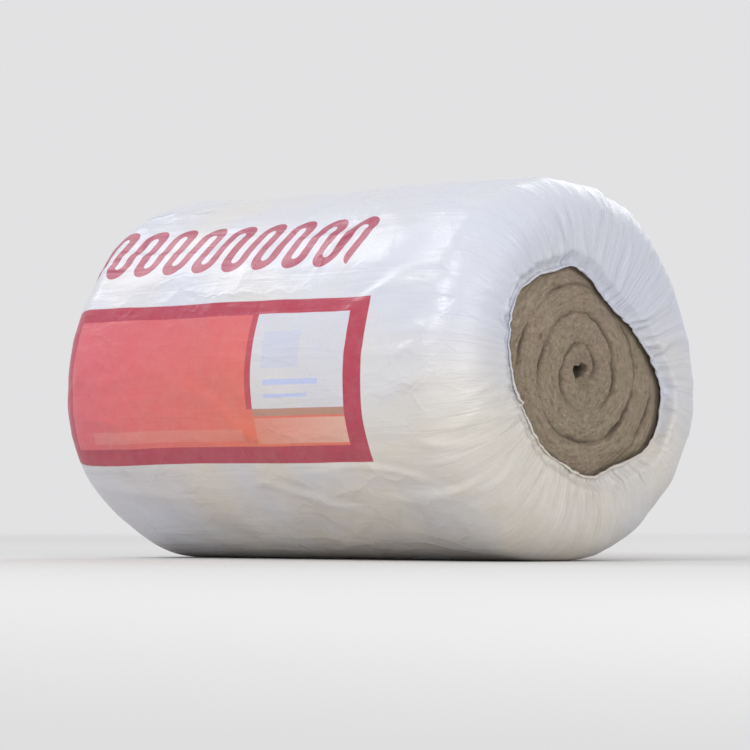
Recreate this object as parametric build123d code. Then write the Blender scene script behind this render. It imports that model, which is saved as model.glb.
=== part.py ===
from build123d import *
from math import cos, radians, sin
import os

# A roll of mineral wool blanket in a sleeve of shrunk film. Millimetres, +Z up.
# The roll lies along X. The origin is on the floor, below the middle of the roll.

# The roll over its film
ROLL_DIAMETER = 392.0
ROLL_LENGTH = 612.0
SHOULDER_RADIUS = 56.0
SHOULDER_BANDS = 6

# The film: it runs over the shoulders, slopes in at the opening and ends flat on the wool
FILM_THICKNESS = 0.5
LIP_DEPTH = 10.0
LIP_WIDTH = 12.0
FILM_MARGIN = 6.0

# The egg that the shrunk film leaves open at each end: the radius of its upper and lower round,
# the distance between their centres, and its lean from upright in degrees
FRONT_OPENING = (92.0, 90.0, 66.0, 54.0)
BACK_OPENING = (96.0, 90.0, 22.0, -24.0)

# The blanket: the thickness of one turn, the eye in the middle and the groove between turns
TURN_THICKNESS = 30.0
EYE_DIAMETER = 24.0
GROOVE_WIDTH = 5.0
GROOVE_DEPTH = 6.0

RADIUS = ROLL_DIAMETER / 2
HALF_LENGTH = ROLL_LENGTH / 2
END_RING_RADIUS = RADIUS - SHOULDER_RADIUS
WOOL_FACE = HALF_LENGTH - FILM_THICKNESS - LIP_DEPTH
ENDS = ((1, FRONT_OPENING), (-1, BACK_OPENING))


def across(side, x):
    """The plane across the roll at x along one half, facing out of that end."""
    return Plane(origin=(side * x, 0, 0), x_dir=(0, side, 0), z_dir=(side, 0, 0))


def egg(opening, wider):
    """An opening's outline, wider all round by the given amount: two circles and the lines that
    touch both, with the roll's axis through the middle."""
    upper, lower, apart, lean = opening
    rounds = (
        Edge.make_circle(upper + wider, Plane((0, apart / 2, 0))),
        Edge.make_circle(lower + wider, Plane((0, -apart / 2, 0))),
    )
    return Rot(Z=lean) * make_hull(rounds)


def roll_form(skin):
    """The roll's outside, a skin's thickness in: a round bar with rounded shoulders, and in each
    end a hollow with sloping sides."""
    end = HALF_LENGTH - skin
    bend = SHOULDER_RADIUS - skin
    turned = [radians(90 * band / SHOULDER_BANDS) for band in range(SHOULDER_BANDS + 1)]
    shoulder = [(end - bend * (1 - sin(a)), END_RING_RADIUS + bend * cos(a)) for a in turned]
    far_shoulder = [(-x, r) for x, r in reversed(shoulder)]
    section = make_face(Polyline(*far_shoulder, *shoulder, (end, 0), (-end, 0), close=True))
    form = revolve(section, Axis.X)
    for side, opening in ENDS:
        mouth = across(side, end) * egg(opening, LIP_WIDTH)
        floor = across(side, end - LIP_DEPTH) * egg(opening, 0)
        form -= loft([mouth, floor], ruled=True)
    return form


def film_wrap():
    """The sleeve: what lies between the roll's outside and the wool, open in the eggs."""
    film = roll_form(0) - roll_form(FILM_THICKNESS)
    for side, opening in ENDS:
        hole = across(side, HALF_LENGTH) * egg(opening, -FILM_MARGIN)
        film -= extrude(hole, -LIP_DEPTH - FILM_THICKNESS)
    return film


def groove(side, half_turn):
    """The gap between two turns over half a turn. Its radius grows by half a turn's thickness each
    time and its centre changes sides, so the halves run on into a spiral, the same at both ends."""
    radius = (EYE_DIAMETER + TURN_THICKNESS * (half_turn + 1)) / 2
    below = half_turn % 2
    section = make_face(
        Polyline(
            (WOOL_FACE - GROOVE_DEPTH, radius),
            (WOOL_FACE, radius + GROOVE_WIDTH / 2),
            (HALF_LENGTH, radius + GROOVE_WIDTH / 2),
            (HALF_LENGTH, radius - GROOVE_WIDTH / 2),
            (WOOL_FACE, radius - GROOVE_WIDTH / 2),
            close=True,
        )
    )
    centre = Pos(Y=TURN_THICKNESS * (below - 0.5) / 2)
    cut = centre * Rot(X=180 * below) * revolve(section, Axis.X, 180)
    return cut if side > 0 else mirror(cut, about=Plane.YZ)


def wool_roll():
    """The rolled blanket: it fills the sleeve, with an eye through it and a spiral in each end."""
    wool = roll_form(FILM_THICKNESS)
    wool -= Rot(Y=90) * Cylinder(EYE_DIAMETER / 2, ROLL_LENGTH)
    half_turns = int((2 * END_RING_RADIUS - EYE_DIAMETER) / TURN_THICKNESS) - 1
    for side, _ in ENDS:
        for half_turn in range(half_turns):
            wool -= groove(side, half_turn)
    return wool


def save(name, piece):
    """Writes one piece, raised so that the roll rests on the floor."""
    export_step(Pos(Z=RADIUS) * piece, f"parts/{name}.step")


os.makedirs("parts", exist_ok=True)
save("wool_roll", wool_roll())
save("film_wrap", film_wrap())
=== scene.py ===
import math

import bpy
import numpy as np
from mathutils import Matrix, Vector, noise


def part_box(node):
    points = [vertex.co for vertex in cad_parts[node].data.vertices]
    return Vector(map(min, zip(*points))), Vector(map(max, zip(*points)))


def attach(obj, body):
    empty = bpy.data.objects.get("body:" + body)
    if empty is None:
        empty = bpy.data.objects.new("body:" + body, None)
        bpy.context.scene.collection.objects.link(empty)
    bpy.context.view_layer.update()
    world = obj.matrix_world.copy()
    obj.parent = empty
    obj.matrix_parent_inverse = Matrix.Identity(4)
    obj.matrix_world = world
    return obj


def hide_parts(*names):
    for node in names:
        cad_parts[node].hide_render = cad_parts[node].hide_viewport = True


bl_info = {
    "name": "Mineral wool roll",
    "version": (1, 0, 0),
    "blender": (4, 5, 0),
    "location": "View3D > Sidebar > Wool roll",
    "description": "Dresses a mineral wool blanket roll: its printed film sleeve and its open wool ends",
    "category": "Object",
}

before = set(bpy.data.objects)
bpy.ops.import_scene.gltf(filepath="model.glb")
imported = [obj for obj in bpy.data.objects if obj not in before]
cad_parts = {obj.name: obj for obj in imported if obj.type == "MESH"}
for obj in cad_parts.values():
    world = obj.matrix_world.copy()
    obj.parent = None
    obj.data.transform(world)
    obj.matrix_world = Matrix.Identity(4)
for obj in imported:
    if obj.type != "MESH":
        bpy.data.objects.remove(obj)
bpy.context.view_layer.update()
FILM_LOW, FILM_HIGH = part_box("film_wrap")
HALF_LENGTH = FILM_HIGH[0]
AXIS_HEIGHT = (FILM_LOW[2] + FILM_HIGH[2]) / 2
RADIUS = FILM_HIGH[2] - AXIS_HEIGHT
GIRTH = 2 * math.pi * RADIUS

# The sleeve's bends, in metres, as the frame has them, and the least width of its flat end ring
SHOULDER = 0.056
LIP_WIDTH = 0.012
LIP_DEPTH = 0.010
FILM_MARGIN = 0.006
LEAST_RING = 0.002
RING = RADIUS - SHOULDER
BARREL = HALF_LENGTH - SHOULDER

# The thin roll that the film's free edge ends in: its radius and how far it turns, in radians
CURL = 0.0016
CURL_TURN = 4.2

# The stretches of half the film: the barrel, over the shoulder, across the ring, into the lip, on
# the wool and round its rolled edge, with how many rows of faces each has
OVER_SHOULDER = SHOULDER * math.pi / 2
ACROSS_RING = 0.026
INTO_LIP = 0.017
ROUND_CURL = CURL * CURL_TURN
STRETCHES = (BARREL, OVER_SHOULDER, ACROSS_RING, INTO_LIP, FILM_MARGIN, ROUND_CURL)
STRETCH_ROWS = (44, 26, 8, 8, 3, 7)

# How far past the barrel some of them begin, and where the film ends
TO_LIP = OVER_SHOULDER + ACROSS_RING
TO_FLOOR = TO_LIP + INTO_LIP
TO_CURL = TO_FLOOR + FILM_MARGIN
END_FILM = TO_CURL + ROUND_CURL

# Each end's opening: the radius of its upper and lower round, how far apart their centres are and
# its lean from upright seen from outside; then how it strays from that, as waves round it: their
# number, their height and where the first one is highest, in degrees
FRONT_OPENING = (0.092, 0.090, 0.066, 54)
BACK_OPENING = (0.096, 0.090, 0.022, -24)
FRONT_WAVES = ((1, 0.0046, -77), (3, 0.0047, -10), (4, 0.0034, -96), (6, 0.0014, -156))
BACK_WAVES = ((1, 0.0025, -40), (3, 0.0036, 75), (4, 0.0024, 20), (5, 0.0016, 130))

# How many circles an opening's outline is made from, and the finer waves that roughen it: their
# numbers round it and their height, before it falls with their number
EGG_CIRCLES = 25
ROUGH_WAVES = range(7, 40)
ROUGHNESS = 0.006

# How many broad gathers run into each opening, and how many creases the sleeve has
GATHERS = 120
CREASES = 150

# What the roll's own weight does: how much wider it gets low down, as a share, and how far the
# part just above the floor comes down
BULGE = 0.024
SAG = 0.004

# How far the film can sink between its lumps and gathers before the wool holds it, and the height
# above the floor below which the roll's weight presses them flat
SINK = 0.0032
PRESSED = 0.035

# The wool's own lumps, from coarse to fine: height, size and seed
WOOL_LUMPS = ((0.0024, 0.024, 13), (0.0017, 0.009, 14), (0.0010, 0.0037, 15))

# One printed panel on the flat film, in metres along the roll and round it: its left, right, lower
# and upper edge, its border's width on those sides and the lower left corner of its window
PANEL = (-0.283, 0.173, -0.0885, 0.0835)
PANEL_BORDER = (0.019, 0.025, 0.019, 0.015)
WINDOW_CORNER = (0.016, -0.029)

# What the window holds, a block and two lines, each by its left, right, lower and upper edge
WINDOW_BLOCK = (0.030, 0.084, 0.012, 0.050)
WINDOW_LINES = ((0.034, 0.112, -0.005, 0.001), (0.034, 0.096, -0.018, -0.014))

# The row of printed loops: where it begins and ends, the length of one loop, the line's width, half
# the length of its straight parts and how much it leans
LOOP_ROW = (-0.283, 0.131)
LOOP_LENGTH = 0.0460
LOOP_LINE = 0.0122
LOOP_STRAIGHT = 0.0178
LOOP_LEAN = 0.18

# Where each panel's middle and the loops' middle lie round the film
PANEL_PLACES = (-0.0085, -0.385, 0.575)
LOOPS_PLACE = 0.148

# The sharp folds in the film that are too fine for its mesh, from broad to fine: how many there are
# to the metre, their depth and how many patches of them to the metre
SHARP_FOLDS = ((15.0, 0.0016, 7.0), (42.0, 0.0005, 13.0))

# The lamps: name, place, size and power in watts. Then the light that the pale room gives, and the
# floor's radius
LAMPS = (
    ("key_lamp", (-0.1, -2.6, 2.5), 1.1, 36),
    ("sheen_lamp", (-2.5, -0.4, 2.3), 1.3, 16),
    ("fill_lamp", (2.9, -1.2, 1.1), 2.0, 29),
    ("back_lamp", (-0.8, 2.8, 2.2), 2.0, 24),
)
ROOM_LIGHT = 0.58
FLOOR_RADIUS = 200


def colour_property(name, description, default):
    """A colour that a user can set."""
    return bpy.props.FloatVectorProperty(
        name=name, description=description, subtype="COLOR", size=4, min=0, max=1, default=(*default, 1)
    )


def length_property(name, description, default):
    """A length in metres that a user can set."""
    return bpy.props.FloatProperty(
        name=name, description=description, unit="LENGTH", min=0, precision=4, default=default
    )


class SleeveSettings(bpy.types.PropertyGroup):
    """The printed film sleeve."""

    columns: bpy.props.IntProperty(
        name="Columns", description="Faces round the sleeve", min=48, default=480
    )
    lump: length_property("Lumps", "How far the wool pushes the film out of true", 0.0042)
    pucker: length_property("Puckers", "Height of the gathers round the openings", 0.0025)
    crease: length_property("Creases", "Height of the loose creases along the barrel", 0.0018)
    film: colour_property("Film", "The milky white film", (0.655, 0.672, 0.755))
    # The cream film is partly the film's own tone, laid on at random, and partly painted warm bounce light
    # low down.
    cream_and_bounce: colour_property("Cream film", "The film where the wool warms its white", (0.730, 0.690, 0.620))
    panel: colour_property("Panel red", "The red of the printed panels", (0.670, 0.125, 0.160))
    orange: colour_property("Panel orange", "The paler end of a panel's red", (0.780, 0.175, 0.100))
    border: colour_property("Border", "The crimson round each panel", (0.450, 0.040, 0.082))
    loops: colour_property("Loops", "The dark crimson of the printed loops", (0.380, 0.032, 0.090))
    khaki: colour_property("Khaki", "The brown line in a panel", (0.400, 0.275, 0.205))
    beige: colour_property("Beige", "The pale strip in a panel", (0.750, 0.430, 0.340))
    pale: colour_property("Pale ink", "The faint lines in a panel's window", (0.500, 0.560, 0.820))
    dust: colour_property("Dust", "The dust low on the film", (0.420, 0.310, 0.210))


class BlanketSettings(bpy.types.PropertyGroup):
    """The rolled wool blanket."""

    columns: bpy.props.IntProperty(
        name="Columns", description="Faces round the roll", min=48, default=400
    )
    face_rows: bpy.props.IntProperty(
        name="Face rows", description="Faces from the film's edge to the eye", min=16, default=80
    )
    turn: length_property("Turn", "Thickness of one turn of the blanket", 0.030)
    start: length_property("Start", "From the axis to the first gap between turns", 0.0195)
    eye: length_property("Eye", "Diameter of the eye in the middle of the roll", 0.024)
    groove: length_property("Groove", "Depth of the gap between two turns", 0.0045)
    wool: colour_property("Wool", "The main grey-brown of the wool", (0.475, 0.362, 0.270))
    olive: colour_property("Olive", "The greener patches of the wool", (0.440, 0.355, 0.240))
    bright: colour_property("Pale fibre", "The palest fibres", (0.640, 0.550, 0.430))
    # The gap colour is the wool's darker fibres and also painted shade in the gaps between turns, in the
    # eye and just inside the film's edge.
    dark: colour_property("Gap", "The wool deep between two turns", (0.110, 0.080, 0.056))


class StageSettings(bpy.types.PropertyGroup):
    """The floor, the lights and the camera."""

    azimuth: bpy.props.FloatProperty(
        name="Azimuth", description="How far the camera stands round towards the front end",
        subtype="ANGLE", default=math.radians(45)
    )
    elevation: bpy.props.FloatProperty(
        name="Elevation", description="How far the camera looks down", subtype="ANGLE",
        min=-1.5, default=math.radians(-1.8)
    )
    distance: length_property("Distance", "From the camera to the middle of the roll", 4.45)
    view_width: length_property("View width", "Width of the view at the roll", 0.80)
    floor: colour_property("Floor", "The pale floor", (0.70, 0.70, 0.70))
    backdrop: colour_property("Backdrop", "The pale room behind the roll", (0.76, 0.76, 0.77))


def smooth(x):
    """Eases from 0 to 1 as x goes from 0 to 1."""
    x = np.clip(x, 0, 1)
    return x * x * (3 - 2 * x)


def opening_radius(side, angle):
    """How far an opening's floor reaches from the roll's axis at each angle, seen from outside,
    counted from the right and up: the farthest of many circles between the two rounds."""
    opening, waves = (FRONT_OPENING, FRONT_WAVES) if side > 0 else (BACK_OPENING, BACK_WAVES)
    upper, lower, apart, lean = opening
    away = angle - math.radians(90 + lean)
    reach = np.zeros_like(angle)
    for share in np.linspace(0, 1, EGG_CIRCLES):
        offset = apart * (0.5 - share)
        radius = upper + (lower - upper) * share
        reach = np.maximum(reach, offset * np.cos(away) + np.sqrt(radius**2 - (offset * np.sin(away)) ** 2))
    for count, height, place in waves:
        reach += height * np.cos(count * angle - math.radians(place))
    pick = np.random.default_rng(5 + side)
    for count in ROUGH_WAVES:
        reach += ROUGHNESS / count**1.25 * pick.normal() * np.cos(count * angle + pick.uniform(0, 6.28))
    return reach


def end_profile(side, past, angle):
    """Where film lies that far past the barrel, at each angle seen from outside: its distance along
    the roll from the middle and out from the axis. The roll at its edge is uneven."""
    floor = opening_radius(side, angle)
    mouth = np.minimum(floor + LIP_WIDTH, RING - LEAST_RING)
    bend = np.clip(past / OVER_SHOULDER, 0, 1) * math.pi / 2
    ring = np.clip((past - OVER_SHOULDER) / ACROSS_RING, 0, 1)
    slope = np.clip((past - TO_LIP) / INTO_LIP, 0, 1)
    flat = np.clip((past - TO_FLOOR) / FILM_MARGIN, 0, 1)
    curl = np.clip((past - TO_CURL) / CURL, 0, CURL_TURN)
    roll = CURL * (0.85 + 0.3 * np.sin(3 * angle + side) * np.sin(7 * angle) + 0.15 * np.sin(17 * angle))
    along = BARREL + SHOULDER * np.sin(bend) - LIP_DEPTH * smooth(slope) + roll * (1 - np.cos(curl))
    out = RING + SHOULDER * np.cos(bend) + (mouth - RING) * ring - (mouth - floor) * slope
    return along, out - (FILM_MARGIN - CURL) * flat - roll * np.sin(curl)


def grid(name, rows, columns):
    """A flat grid piece, with each vertex's row and column as numbers from 0 to 1. The vertices of
    one column follow each other."""
    bpy.ops.object.select_all(action="DESELECT")
    bpy.ops.mesh.primitive_grid_add(x_subdivisions=rows, y_subdivisions=columns, size=1)
    piece = bpy.context.object
    piece.name = name
    piece.data.name = name
    points = np.empty(len(piece.data.vertices) * 3, np.float32)
    piece.data.vertices.foreach_get("co", points)
    points = points.reshape(-1, 3).astype(float) + 0.5
    return piece, points[:, 0], points[:, 1]


def map_flat(piece, across, up):
    """Gives the piece a UV map in metres."""
    corners = np.empty(len(piece.data.loops), np.int32)
    piece.data.loops.foreach_get("vertex_index", corners)
    flat = np.stack([across[corners], up[corners]], 1).astype(np.float32)
    piece.data.uv_layers[0].data.foreach_set("uv", flat.ravel())
    piece.data.uv_layers[0].name = "Flat"


def round_the_axis(along, out, angle):
    """Points round the roll's axis. The angle is counted from the side that faces -Y, upwards."""
    return np.stack([along, -out * np.cos(angle), AXIS_HEIGHT + out * np.sin(angle)], 1)


def outward(points, rows):
    """The surface's outward direction at each point of a grid that closes round the axis."""
    sheet = points.reshape(-1, rows + 1, 3)
    around = np.empty_like(sheet)
    around[1:-1] = sheet[2:] - sheet[:-2]
    around[0] = around[-1] = sheet[1] - sheet[-2]
    facing = np.cross(np.gradient(sheet, axis=1), around)
    facing /= np.linalg.norm(facing, axis=2, keepdims=True)
    middle = sheet[0, rows // 2] - (0, 0, AXIS_HEIGHT)
    return (facing * np.sign(facing[0, rows // 2] @ middle)).reshape(-1, 3)


def close_up(piece, points):
    """Puts the vertices in place, joins the edges that meet, turns the faces outwards and shades
    them smooth."""
    piece.data.vertices.foreach_set("co", points.astype(np.float32).ravel())
    piece.data.update()
    bpy.ops.object.mode_set(mode="EDIT")
    bpy.ops.mesh.select_all(action="SELECT")
    bpy.ops.mesh.remove_doubles(threshold=0.00002)
    bpy.ops.mesh.normals_make_consistent(inside=False)
    bpy.ops.mesh.select_all(action="DESELECT")
    bpy.ops.object.mode_set(mode="OBJECT")
    bpy.ops.object.shade_smooth()


def billow(points, size, seed):
    """Soft noise from -1 to 1 with lumps of the given size."""
    start = Vector((seed * 7.31, seed * 3.17, seed * 5.53))
    return np.array([noise.noise(Vector(p) / size + start) for p in points])


def ridge(across, width):
    """A fold's section: a ridge with a shallow trough on one side."""
    trough = np.exp(-(((across - 1.9 * width) / (1.5 * width)) ** 2))
    return np.exp(-((across / width) ** 2)) - 0.4 * trough


def turned(angle):
    """The same angle, from -pi to pi."""
    return (angle + math.pi) % (2 * math.pi) - math.pi


def seen_angle(side, angle):
    """The same direction as it is counted by someone who looks at that end from outside."""
    return turned(math.pi - angle) if side > 0 else angle


def puckers(past, angle, seed):
    """The gathers where shrunk film runs over a shoulder into an opening, from 0 to about 1: fine
    ones all round, and broader ones of which most are short and some run over the shoulder."""
    pick = np.random.default_rng(seed)
    inwards = END_FILM - past
    noise_round, noise_along, fine_reach, fine_tall, valley = 13, 8, 0.120, 1.7, 0.24
    ring = np.stack([noise_round * np.cos(angle), noise_round * np.sin(angle), noise_along * past], 1)
    fade = smooth(1 - inwards / fine_reach) * (0.35 + 0.65 * smooth(inwards / 0.025))
    height = fine_tall * fade * (valley - np.abs(billow(ring, 1.0, 20 + seed)))
    for index in range(GATHERS):
        centre = pick.uniform(-math.pi, math.pi)
        reach = pick.uniform(0.09, 0.18) if index % 3 == 0 else pick.uniform(0.03, 0.075)
        slant = pick.normal(0, 0.9)
        width = pick.uniform(0.020, 0.042)
        tall = pick.uniform(0.25, 1.0) ** 1.4
        across = turned(angle - centre - slant * inwards - 0.05 * np.sin(inwards * 60 + centre * 9))
        fade = smooth(1 - inwards / reach) * (0.5 + 0.5 * smooth(inwards / 0.03))
        height += tall * fade * ridge(across, width * (0.8 + 6 * inwards))
    return height


def creases(film, angle, seed):
    """Loose creases along the barrel and over its shoulders, from 0 to about 1."""
    pick = np.random.default_rng(seed)
    height = np.zeros_like(film)
    for index in range(CREASES):
        by_end = index % 5 > 1
        side = 1 if pick.random() < 0.5 else -1
        start = side * (BARREL + pick.uniform(-0.07, 0.04)) if by_end else pick.uniform(-BARREL, BARREL)
        centre = pick.uniform(-math.pi, math.pi)
        length = pick.uniform(0.06, 0.20) if by_end else pick.uniform(0.10, 0.34)
        tilt = pick.normal(0, 0.12 if by_end else 0.45)
        width = pick.uniform(0.0035, 0.010)
        tall = pick.uniform(0.15, 1.0) ** 1.4
        bow = pick.normal() * 1.2
        along = film - start
        around = turned(angle - centre) * RADIUS + bow * along**2
        across = around * math.cos(tilt) - along * math.sin(tilt)
        run = along * math.cos(tilt) + around * math.sin(tilt)
        height += tall * smooth(1 - np.abs(run) * 2 / length) * ridge(across, width)
    return height


def slump(points):
    """Lets the soft roll sag: wider low down, narrower above and flat where it meets the floor."""
    height = points[:, 2]
    low = np.clip((AXIS_HEIGHT - height) / RADIUS, -1, 1)
    points[:, 1] *= 1 + BULGE * np.sin(math.pi * low)
    points[:, 2] -= SAG * (1 - np.exp(-height / SAG)) * (1 - height / (2 * AXIS_HEIGHT))
    return points


class WOOLROLL_OT_sleeve(bpy.types.Operator):
    """Wraps the roll in its printed film"""

    bl_idname = "wool_roll.sleeve"
    bl_label = "Film sleeve"

    def execute(self, context):
        sizes = context.scene.wool_sleeve
        rows = 2 * sum(STRETCH_ROWS)
        piece, row, column = grid("film_sleeve", rows, sizes.columns)
        angle = (column * 2 - 1) * math.pi
        share = np.abs(row * 2 - 1)
        lengths = np.cumsum((0, *STRETCHES))
        film = np.sign(row - 0.5) * np.interp(share * rows / 2, np.cumsum((0, *STRETCH_ROWS)), lengths)
        map_flat(piece, film, angle * RADIUS)
        along, out = film.copy(), np.full_like(film, RADIUS)
        lift = sizes.crease * creases(film, angle, 3)
        for side in (1, -1):
            here = film * side > BARREL
            x, r = end_profile(side, film[here] * side - BARREL, seen_angle(side, angle[here]))
            along[here], out[here] = side * x, r
            near = film * side > BARREL - 0.06
            lift[near] += sizes.pucker * puckers(film[near] * side - BARREL, angle[near], 6 + side)
        points = round_the_axis(along, out, angle)
        past = np.abs(film) - BARREL
        loose = 1 - 0.85 * smooth((past - TO_LIP) / INTO_LIP)
        lift += sizes.lump * loose * (billow(points, 0.13, 1) + 0.45 * billow(points, 0.045, 2))
        lift = np.maximum(lift, SINK * np.tanh(lift / SINK)) * smooth(points[:, 2] / PRESSED)
        facing = outward(points, rows)
        facing[past > TO_FLOOR] = np.stack([np.sign(film), 0 * film, 0 * film], 1)[past > TO_FLOOR]
        close_up(piece, slump(points + facing * lift[:, None]))
        piece.data.materials.append(film_material(sizes))
        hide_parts("film_wrap")
        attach(piece, "root")
        return {"FINISHED"}


class WOOLROLL_OT_blanket(bpy.types.Operator):
    """Rolls up the wool blanket, with its turns showing in both openings"""

    bl_idname = "wool_roll.blanket"
    bl_label = "Wool blanket"

    def execute(self, context):
        sizes = context.scene.wool_blanket
        hidden_rows, eye_rows, inset, face_inset = 14, 8, 0.005, 0.0035
        rows = 2 * (hidden_rows + sizes.face_rows + eye_rows)
        piece, row, column = grid("wool_blanket", rows, sizes.columns)
        angle = (column * 2 - 1) * math.pi
        step = np.abs(row - 0.5) * rows
        along, out, gap = np.zeros_like(row), np.full_like(row, RADIUS - inset), np.zeros_like(row)
        for side in (1, -1):
            here = (row - 0.5) * side > 0
            seen = seen_angle(side, angle[here])
            hidden = np.clip(step[here] / hidden_rows, 0, 1)
            face = np.clip((step[here] - hidden_rows) / sizes.face_rows, 0, 1)
            bore = np.clip((step[here] - hidden_rows - sizes.face_rows) / eye_rows, 0, 1)
            past = hidden**0.6 * (BARREL + TO_FLOOR) - BARREL
            x, r = end_profile(side, np.maximum(past, 0), seen)
            bend = np.clip(past / OVER_SHOULDER, 0, 1) * math.pi / 2
            x = np.minimum(past, 0) + x - inset * np.sin(bend)
            r = r - inset * np.cos(bend)
            floor = opening_radius(side, seen)
            eye = sizes.eye / 2 * (1 - 0.45 * np.sin(seen - 0.3) ** 2 + 0.10 * np.sin(5 * seen))
            reach = floor + (eye - floor) * face
            shut, relief = wool_face(sizes, reach, seen, floor - FILM_MARGIN, side)
            x = np.where(face > 0, HALF_LENGTH - LIP_DEPTH - face_inset + relief, x)
            along[here] = side * x * (1 - bore**1.6)
            out[here] = np.where(face > 0, reach + (sizes.eye / 2 - reach) * bore, r)
            # The gap attribute holds painted shade in the gaps between turns and in the eye, and a painted
            # shadow under the film's edge.
            gap[here] = np.where(face > 0, np.maximum(shut, smooth(bore * 5)), 0)
        shade = piece.data.attributes.new("gap", "FLOAT", "POINT")
        shade.data.foreach_set("value", np.clip(gap, 0, 1).astype(np.float32))
        map_flat(piece, along, angle * RADIUS)
        close_up(piece, slump(round_the_axis(along, out, angle)))
        piece.data.materials.append(wool_material(sizes))
        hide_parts("wool_roll")
        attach(piece, "root")
        return {"FINISHED"}


def wool_face(sizes, reach, seen, edge, side):
    """The open wool: how dark it is painted, as painted shade in the gaps between two turns and a painted
    shadow just inside the film's edge, and its height above the wool that lies under the film. The turns
    stand at uneven heights and are partly pressed shut."""
    gap_width, rim_width, edge_ease, eye_ease, eye_hollow = 0.0024, 0.0035, 0.016, 0.008, 0.005
    places = np.stack([reach * np.cos(seen), reach * np.sin(seen), np.full_like(reach, side)], 1)
    wander = 0.0045 * billow(places, 0.06, 11) + 0.0016 * billow(places, 0.016, 12)
    spin = (seen if side > 0 else math.pi - seen) % (2 * math.pi) / (2 * math.pi)
    turns = (reach + wander - sizes.start) / sizes.turn - spin
    from_gap = np.abs(turns - np.round(turns)) * sizes.turn
    wound = np.floor(turns) + spin
    layer = np.stack([wound * 5, np.full_like(reach, side), 0 * reach], 1)
    inside = smooth((edge - reach) / edge_ease)
    started = smooth((reach - sizes.eye / 2) / eye_ease)
    open_share = 0.25 + 0.75 * smooth(0.55 + 1.1 * billow(places, 0.045, 16))
    gap = np.exp(-((from_gap / gap_width) ** 1.3)) * started * open_share
    height = 0.0030 + 0.0045 * (1 - (reach / edge) ** 2) + 0.0022 * billow(layer, 1.0, 17)
    height += 0.0016 * smooth(from_gap / (sizes.turn / 2))
    for tall, size, seed in WOOL_LUMPS:
        height += tall * billow(places, size, seed)
    height -= sizes.groove * gap + eye_hollow * (1 - started)
    # A painted shadow just inside the film's edge.
    rim_shadow = np.exp(-((np.maximum(edge - reach, 0) / rim_width) ** 1.5))
    return np.maximum(gap, 0.8 * rim_shadow), inside * height


def node(tree, kind, inputs=None, **settings):
    """Adds a node, sets it up and fills its inputs with values or with other nodes' outputs."""
    made = tree.nodes.new(kind)
    for name, value in settings.items():
        setattr(made, name, value)
    for name, value in (inputs or {}).items():
        if isinstance(value, bpy.types.NodeSocket):
            tree.links.new(value, made.inputs[name])
        else:
            made.inputs[name].default_value = value
    return made


def maths(tree, operation, *values):
    """The result of one sum on numbers or outputs."""
    made = node(tree, "ShaderNodeMath", dict(enumerate(values)), operation=operation)
    return made.outputs[0]


def blended(tree, share, first, second):
    """A mix of two colours."""
    made = node(tree, "ShaderNodeMix", {0: share, 6: first, 7: second}, data_type="RGBA")
    return made.outputs[2]


def ranged(tree, value, low, high, to_low=0.0, to_high=1.0):
    """Spreads a value's range over another, and stops at its ends."""
    made = node(
        tree, "ShaderNodeMapRange",
        {"Value": value, "From Min": low, "From Max": high, "To Min": to_low, "To Max": to_high}
    )
    return made.outputs[0]


def grain(tree, vector, scale, detail=2.0, roughness=0.5, distortion=0.0):
    """Noise from 0 to 1."""
    made = node(
        tree, "ShaderNodeTexNoise",
        {"Vector": vector, "Scale": scale, "Detail": detail, "Roughness": roughness,
         "Distortion": distortion}
    )
    return made.outputs["Fac"]


def box(tree, along, around, left, right, bottom, top):
    """1 inside a rectangle on the flat film, 0 outside."""
    aside = maths(tree, "ABSOLUTE", maths(tree, "SUBTRACT", along, (left + right) / 2))
    above = maths(tree, "ABSOLUTE", maths(tree, "SUBTRACT", around, (bottom + top) / 2))
    aside = maths(tree, "SUBTRACT", aside, (right - left) / 2)
    above = maths(tree, "SUBTRACT", above, (top - bottom) / 2)
    return ranged(tree, maths(tree, "MAXIMUM", aside, above), 0.0004, -0.0004)


def bumped(tree, height, distance, strength=1.0, below=None):
    """Small relief on the surface, on top of other relief."""
    inputs = {"Height": height, "Distance": distance, "Strength": strength}
    if below is not None:
        inputs["Normal"] = below
    return node(tree, "ShaderNodeBump", inputs).outputs[0]


def new_material(name):
    """An empty material and its principled shader."""
    material = bpy.data.materials.new(name)
    material.use_nodes = True
    tree = material.node_tree
    tree.nodes.clear()
    shader = tree.nodes.new("ShaderNodeBsdfPrincipled")
    output = tree.nodes.new("ShaderNodeOutputMaterial")
    tree.links.new(shader.outputs[0], output.inputs[0])
    return material, tree, shader


def print_group(name, inputs, outputs):
    """An empty node group for a part of the print, its inputs and the sockets of its result."""
    tree = bpy.data.node_groups.new(name, "ShaderNodeTree")
    for label in inputs:
        tree.interface.new_socket(label, in_out="INPUT", socket_type="NodeSocketFloat")
    for label, kind in outputs.items():
        tree.interface.new_socket(label, in_out="OUTPUT", socket_type=kind)
    return tree, tree.nodes.new("NodeGroupInput").outputs, tree.nodes.new("NodeGroupOutput").inputs


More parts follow.
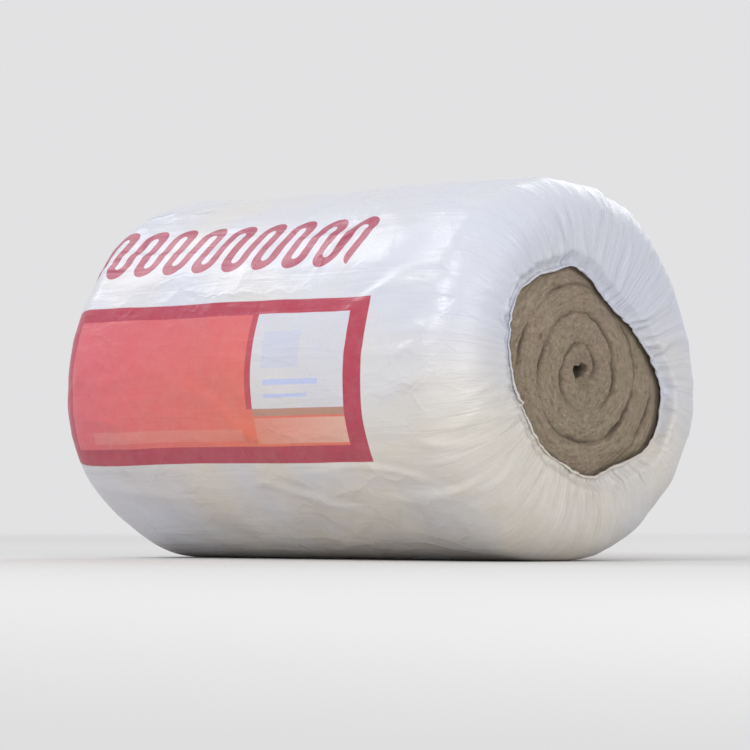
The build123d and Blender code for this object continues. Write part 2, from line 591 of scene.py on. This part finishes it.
def panel_print(sizes):
    """One printed panel as a group, with its middle line at 0 round the film: a red field in a
    crimson border, with a clear window, a brown line and a pale strip."""
    kinds = {"Ink": "NodeSocketFloat", "Colour": "NodeSocketColor"}
    tree, given, result = print_group("panel_print", ("Along", "Around"), kinds)
    along, around = given["Along"], given["Around"]
    border_left, border_right, border_bottom, border_top = PANEL_BORDER
    left, right = PANEL[0] + border_left, PANEL[1] - border_right
    bottom, top = PANEL[2] + border_bottom, PANEL[3] - border_top
    window_left, window_bottom = WINDOW_CORNER
    upright, brown, gap = 0.009, 0.008, 0.003

    def area(*edges):
        return box(tree, along, around, *edges)

    def over(below, shape, share, ink):
        return blended(tree, maths(tree, "MULTIPLY", shape, share), below, ink)

    warm = ranged(tree, along, left, window_left)
    warm = maths(tree, "MULTIPLY", warm, ranged(tree, around, top, bottom, 0.25, 1.0))
    red = blended(tree, warm, sizes.panel, sizes.orange)
    colour = blended(tree, area(left, right, bottom, top), sizes.border, red)
    strip = area(window_left, right, bottom + gap, window_bottom - brown - 0.002)
    colour = over(colour, strip, ranged(tree, along, window_left, right, 0.35, 1.0), sizes.beige)
    low_strip = area(left + 0.03, window_left - 0.02, bottom + 2 * gap, bottom + 0.019)
    colour = over(colour, low_strip, 0.22, sizes.beige)
    line = area(window_left, right, window_bottom - brown, window_bottom)
    colour = over(colour, line, 0.8, sizes.khaki)
    frame_line = area(window_left - upright, window_left, window_bottom, top)
    colour = over(colour, frame_line, 0.8, sizes.border)

    faint = maths(tree, "MULTIPLY", area(*WINDOW_BLOCK), 0.50)
    for edges in WINDOW_LINES:
        faint = maths(tree, "MAXIMUM", faint, maths(tree, "MULTIPLY", area(*edges), 0.95))
    faint = maths(tree, "MAXIMUM", faint, 0.22)
    window = area(window_left, right, window_bottom, top)
    colour = blended(tree, window, colour, sizes.pale)
    clear = maths(tree, "MULTIPLY", window, maths(tree, "SUBTRACT", 1.0, faint))
    tree.links.new(maths(tree, "SUBTRACT", area(*PANEL), clear), result["Ink"])
    tree.links.new(colour, result["Colour"])
    return tree


def loop_print():
    """A row of plain loops as a group, one line that winds up and down, with its middle at 0 round
    the film. Its bends are half circles about centres at the ends of its straight parts."""
    tree, given, result = print_group("loop_print", ("Along", "Around"), {"Ink": "NodeSocketFloat"})
    along, around = given["Along"], given["Around"]
    left, right = LOOP_ROW
    lean = maths(tree, "MULTIPLY", around, -LOOP_LEAN)
    leaning = maths(tree, "ADD", maths(tree, "SUBTRACT", along, left), lean)
    aside = maths(tree, "PINGPONG", leaning, LOOP_LENGTH / 2)
    upper = maths(tree, "GREATER_THAN", around, 0.0)
    from_upper = maths(tree, "MULTIPLY", maths(tree, "SUBTRACT", LOOP_LENGTH / 2, aside), upper)
    from_lower = maths(tree, "MULTIPLY", aside, maths(tree, "SUBTRACT", 1.0, upper))
    sideways = maths(tree, "ADD", from_upper, from_lower)
    above = maths(tree, "MAXIMUM", maths(tree, "SUBTRACT", around, LOOP_STRAIGHT), 0.0)
    below = maths(tree, "MAXIMUM", maths(tree, "SUBTRACT", -LOOP_STRAIGHT, around), 0.0)
    beyond = maths(tree, "ADD", above, below)
    squares = maths(tree, "ADD", maths(tree, "POWER", sideways, 2.0), maths(tree, "POWER", beyond, 2.0))
    reach = maths(tree, "SQRT", squares)
    off_line = maths(tree, "ABSOLUTE", maths(tree, "SUBTRACT", reach, LOOP_LENGTH / 4))
    half_line, edge = LOOP_LINE / 2, 0.0003
    drawn = ranged(tree, off_line, half_line + edge, half_line - edge)
    cut, tall = LOOP_LENGTH / 4 - half_line, 0.06
    row = box(tree, leaning, around, cut, right - left - cut, -tall, tall)
    tree.links.new(maths(tree, "MULTIPLY", drawn, row), result["Ink"])
    return tree


def printed(tree, group, along, around, middle):
    """One printed motif, its middle that far round the film. What runs past the film's seam goes on
    at its other side."""
    made = node(tree, "ShaderNodeGroup", node_tree=group)
    tree.links.new(along, made.inputs["Along"])
    local = maths(tree, "WRAP", maths(tree, "SUBTRACT", around, middle), GIRTH / 2, -GIRTH / 2)
    tree.links.new(local, made.inputs["Around"])
    return made.outputs


def film_colour(tree, sizes, flat, place, height):
    """The film's milky white, bluer at the top as painted sky light and creamier low down as painted warm
    bounce light, with faint clouds, and its worn print.
    """
    split = node(tree, "ShaderNodeSeparateXYZ", {0: flat}).outputs
    along, around = split[0], split[1]
    cream_tone_and_bounce = ranged(tree, grain(tree, place, 5.0, detail=3.0, roughness=0.55, distortion=0.6), 0.36, 0.68)
    # Painted light by height: bluer film at the top as painted sky light, cream film low down as painted
    # warm bounce light.
    cream_tone_and_bounce = maths(tree, "ADD", cream_tone_and_bounce, ranged(tree, height, 0.36, 0.10, -0.28, 0.22))
    colour = blended(tree, cream_tone_and_bounce, sizes.film, sizes.cream_and_bounce)
    cloud = grain(tree, place, 11.0, detail=4.0, roughness=0.6, distortion=0.4)
    colour = blended(tree, ranged(tree, cloud, 0.45, 0.75, 0.0, 0.10), colour, sizes.pale)
    worn = ranged(tree, grain(tree, place, 70.0, detail=4.0, roughness=0.7), 0.25, 0.6, 0.93, 0.99)
    panels = panel_print(sizes)
    for middle in PANEL_PLACES:
        panel = printed(tree, panels, along, around, middle)
        colour = blended(tree, maths(tree, "MULTIPLY", panel["Ink"], worn), colour, panel["Colour"])
    loops = printed(tree, loop_print(), along, around, LOOPS_PLACE)
    return blended(tree, maths(tree, "MULTIPLY", loops["Ink"], worn), colour, sizes.loops)


def film_relief(tree, flat, place):
    """The film's finest wrinkles: gathers at the ends, long drawn ones, sharp folds in patches of two
    sizes, and a slight grain."""
    along = node(tree, "ShaderNodeSeparateXYZ", {0: flat}).outputs[0]
    past = maths(tree, "SUBTRACT", maths(tree, "ABSOLUTE", along), BARREL)
    drawn = node(tree, "ShaderNodeMapping", {"Vector": flat, "Scale": (9.0, 130.0, 1.0)}).outputs[0]
    gathers = grain(tree, drawn, 1.0, detail=3.0, roughness=0.6, distortion=0.9)
    gathers = maths(tree, "MULTIPLY", gathers, ranged(tree, past, -0.03, 0.09))
    relief = bumped(tree, gathers, 0.0020, 0.9)
    drawn = node(tree, "ShaderNodeMapping", {"Vector": flat, "Scale": (5.0, 38.0, 1.0)}).outputs[0]
    drawn = grain(tree, drawn, 1.0, detail=3.0, roughness=0.55, distortion=0.8)
    relief = bumped(tree, drawn, 0.0022, 0.8, relief)
    shaken = node(
        tree, "ShaderNodeTexNoise", {"Vector": flat, "Scale": 16.0, "Detail": 3.0}
    ).outputs["Color"]
    shaken = node(tree, "ShaderNodeVectorMath", {0: shaken, 3: 0.06}, operation="SCALE").outputs[0]
    shaken = node(tree, "ShaderNodeVectorMath", {0: shaken, 1: flat}, operation="ADD").outputs[0]
    for size, depth, patches in SHARP_FOLDS:
        stretched = node(
            tree, "ShaderNodeMapping", {"Vector": shaken, "Scale": (0.55 * size, size, 1)}
        ).outputs[0]
        cells = node(
            tree, "ShaderNodeTexVoronoi", {"Vector": stretched, "Scale": 1.0}, feature="DISTANCE_TO_EDGE"
        ).outputs["Distance"]
        fold = maths(tree, "POWER", ranged(tree, cells, 0.22, 0.0), 2.0)
        some = ranged(tree, grain(tree, place, patches), 0.45, 0.65)
        relief = bumped(tree, maths(tree, "MULTIPLY", fold, some), depth, 0.8, relief)
    slight = grain(tree, place, 150.0, detail=3.0, roughness=0.6, distortion=0.8)
    return bumped(tree, slight, 0.0004, 0.4, relief)


def film_material(sizes):
    """Milky film with red print, drawn wrinkles and a little dust low down."""
    material, tree, shader = new_material("printed_film")
    flat = node(tree, "ShaderNodeUVMap", uv_map="Flat").outputs[0]
    place = node(tree, "ShaderNodeTexCoord").outputs["Object"]
    height = node(tree, "ShaderNodeSeparateXYZ", {0: place}).outputs[2]
    specks = ranged(tree, grain(tree, place, 14.0, detail=5.0, roughness=0.65), 0.35, 0.75)
    dusty = maths(tree, "MULTIPLY", ranged(tree, height, 0.14, 0.0), specks)
    colour = film_colour(tree, sizes, flat, place, height)
    colour = blended(tree, maths(tree, "MULTIPLY", dusty, 0.5), colour, sizes.dust)
    tree.links.new(colour, shader.inputs["Base Color"])
    tree.links.new(film_relief(tree, flat, place), shader.inputs["Normal"])
    rough = ranged(tree, grain(tree, place, 25.0, detail=4.0, roughness=0.6), 0.3, 0.7, 0.24, 0.40)
    rough = maths(tree, "ADD", rough, maths(tree, "MULTIPLY", dusty, 0.25))
    tree.links.new(rough, shader.inputs["Roughness"])
    shader.inputs["IOR"].default_value = 1.5
    return material


def wool_material(sizes):
    """Mottled grey-brown mineral wool, with streaks along its turns, and painted shade in the gaps between
    them, in the eye and just inside the film's edge.
    """
    material, tree, shader = new_material("mineral_wool")
    place = node(tree, "ShaderNodeTexCoord").outputs["Object"]
    gap = node(tree, "ShaderNodeAttribute", attribute_name="gap").outputs["Fac"]
    centred = node(
        tree, "ShaderNodeMapping", {"Vector": place, "Location": (0, 0, -AXIS_HEIGHT), "Scale": (0, 1, 1)}
    ).outputs[0]
    out = node(tree, "ShaderNodeVectorMath", {0: centred}, operation="LENGTH").outputs["Value"]
    towards = node(tree, "ShaderNodeVectorMath", {0: centred}, operation="NORMALIZE").outputs[0]
    layers = node(tree, "ShaderNodeCombineXYZ", {0: maths(tree, "MULTIPLY", out, 300.0)}).outputs[0]
    wide = node(tree, "ShaderNodeVectorMath", {0: towards, 3: 6.0}, operation="SCALE").outputs[0]
    lain = node(tree, "ShaderNodeVectorMath", {0: wide, 1: layers}, operation="ADD").outputs[0]
    streak = grain(tree, lain, 1.0, detail=5.0, roughness=0.65, distortion=0.4)
    patch = grain(tree, place, 22.0, detail=3.0, roughness=0.55, distortion=0.5)
    speck = grain(tree, place, 420.0, detail=4.0, roughness=0.7)
    colour = blended(tree, ranged(tree, patch, 0.38, 0.62), sizes.wool, sizes.olive)
    colour = blended(tree, ranged(tree, streak, 0.50, 0.74, 0.0, 0.75), colour, sizes.bright)
    colour = blended(tree, ranged(tree, streak, 0.46, 0.28, 0.0, 0.55), colour, sizes.dark)
    colour = blended(tree, ranged(tree, speck, 0.60, 0.78, 0.0, 0.65), colour, sizes.bright)
    colour = blended(tree, ranged(tree, speck, 0.42, 0.28, 0.0, 0.6), colour, sizes.dark)
    # Painted shade in the gaps between turns and in the eye, and a painted shadow under the film's edge.
    colour = blended(tree, ranged(tree, gap, 0.15, 0.95, 0.0, 0.85), colour, sizes.dark)
    relief = bumped(tree, streak, 0.0040, 0.8)
    tufts = grain(tree, place, 150.0, detail=5.0, roughness=0.75, distortion=0.6)
    relief = bumped(tree, tufts, 0.0060, 0.9, relief)
    fibres = grain(tree, place, 600.0, detail=3.0, roughness=0.7)
    relief = bumped(tree, fibres, 0.0020, 0.9, relief)
    tree.links.new(colour, shader.inputs["Base Color"])
    tree.links.new(relief, shader.inputs["Normal"])
    shader.inputs["Roughness"].default_value = 0.95
    shader.inputs["Specular IOR Level"].default_value = 0.15
    shader.inputs["Sheen Weight"].default_value = 0.15
    return material


def seen_ray(tree):
    """1 for what the camera or a reflection sees, 0 for the light that falls on the roll."""
    path = node(tree, "ShaderNodeLightPath").outputs
    return maths(tree, "MAXIMUM", path["Is Camera Ray"], path["Is Glossy Ray"])


def floor_material(sizes):
    """A matt pale floor, which runs into the backdrop's colour far from the roll."""
    material, tree, shader = new_material("pale_floor")
    shader.inputs["Base Color"].default_value = sizes.floor
    shader.inputs["Roughness"].default_value = 0.9
    place = node(tree, "ShaderNodeTexCoord").outputs["Object"]
    away = node(tree, "ShaderNodeVectorMath", {0: place}, operation="LENGTH").outputs["Value"]
    far = node(
        tree, "ShaderNodeMapRange", {"Value": away, "From Min": 0.7, "From Max": 5.0},
        interpolation_type="SMOOTHERSTEP"
    ).outputs[0]
    shown = node(tree, "ShaderNodeEmission", {"Color": sizes.backdrop, "Strength": 1.0})
    output = next(one for one in tree.nodes if one.bl_idname == "ShaderNodeOutputMaterial")
    both = node(
        tree, "ShaderNodeMixShader",
        {0: maths(tree, "MULTIPLY", far, seen_ray(tree)), 1: shader.outputs[0], 2: shown.outputs[0]}
    )
    tree.links.new(both.outputs[0], output.inputs[0])
    return material


def add_lamp(name, place, size, watts, target):
    """A square soft lamp that points at the target."""
    bpy.ops.object.light_add(type="AREA", location=place)
    lamp = bpy.context.object
    lamp.name = name
    lamp.data.shape = "SQUARE"
    lamp.data.size = size
    lamp.data.energy = watts
    lamp.rotation_euler = (target - Vector(place)).to_track_quat("-Z", "Y").to_euler()


def light_room(scene, backdrop):
    """A pale room that gives soft light from all round and shows as the backdrop's colour."""
    scene.world = bpy.data.worlds.new("soft_room")
    scene.world.use_nodes = True
    tree = scene.world.node_tree
    tree.nodes.clear()
    lit = node(tree, "ShaderNodeBackground", {"Color": (1, 1, 1, 1), "Strength": ROOM_LIGHT})
    shown = node(tree, "ShaderNodeBackground", {"Color": backdrop, "Strength": 1.0})
    both = node(tree, "ShaderNodeMixShader", {0: seen_ray(tree), 1: lit.outputs[0], 2: shown.outputs[0]})
    output = tree.nodes.new("ShaderNodeOutputWorld")
    tree.links.new(both.outputs[0], output.inputs[0])


def add_camera(scene, sizes, target):
    """The camera, which looks at the target from the photo's side."""
    a, e = sizes.azimuth, sizes.elevation
    back = Vector((math.sin(a) * math.cos(e), -math.cos(a) * math.cos(e), math.sin(e)))
    bpy.ops.object.camera_add(location=target + back * sizes.distance)
    camera = bpy.context.object
    camera.rotation_euler = (-back).to_track_quat("-Z", "Y").to_euler()
    camera.data.lens = camera.data.sensor_width * sizes.distance / sizes.view_width
    camera.data.clip_end = 2 * FLOOR_RADIUS
    scene.camera = camera


class WOOLROLL_OT_stage(bpy.types.Operator):
    """Lays the floor, hangs the lamps and sets up the camera"""

    bl_idname = "wool_roll.stage"
    bl_label = "Stage"

    def execute(self, context):
        sizes = context.scene.wool_stage
        bpy.ops.object.select_all(action="DESELECT")
        bpy.ops.mesh.primitive_circle_add(vertices=96, radius=FLOOR_RADIUS, fill_type="NGON")
        floor = context.object
        floor.name = "floor"
        floor.data.materials.append(floor_material(sizes))
        middle = Vector((0, 0, AXIS_HEIGHT))
        for lamp in LAMPS:
            add_lamp(*lamp, middle)
        light_room(context.scene, sizes.backdrop)
        add_camera(context.scene, sizes, middle)
        context.scene.view_settings.view_transform = "Standard"
        return {"FINISHED"}


class WOOLROLL_PT_panel(bpy.types.Panel):
    """Lists the steps that dress the roll"""

    bl_idname = "WOOLROLL_PT_panel"
    bl_label = "Wool roll"
    bl_space_type = "VIEW_3D"
    bl_region_type = "UI"
    bl_category = "Wool roll"

    def draw(self, context):
        for group, operator in STEPS:
            part = self.layout.box()
            part.operator(operator)
            settings = getattr(context.scene, group)
            for name in settings.__annotations__:
                part.prop(settings, name)


STEPS = (
    ("wool_blanket", "wool_roll.blanket"),
    ("wool_sleeve", "wool_roll.sleeve"),
    ("wool_stage", "wool_roll.stage"),
)
GROUPS = {
    "wool_sleeve": SleeveSettings,
    "wool_blanket": BlanketSettings,
    "wool_stage": StageSettings,
}
CLASSES = (
    *GROUPS.values(),
    WOOLROLL_OT_sleeve,
    WOOLROLL_OT_blanket,
    WOOLROLL_OT_stage,
    WOOLROLL_PT_panel,
)


def register():
    """Adds the classes and the settings."""
    for cls in CLASSES:
        bpy.utils.register_class(cls)
    for name, group in GROUPS.items():
        setattr(bpy.types.Scene, name, bpy.props.PointerProperty(type=group))


def unregister():
    """Takes the settings and the classes away again."""
    for name in GROUPS:
        delattr(bpy.types.Scene, name)
    for cls in reversed(CLASSES):
        bpy.utils.unregister_class(cls)


def main():
    """Dresses the frame."""
    register()
    bpy.ops.wool_roll.blanket()
    bpy.ops.wool_roll.sleeve()
    bpy.ops.wool_roll.stage()


if __name__ == "__main__":
    main()
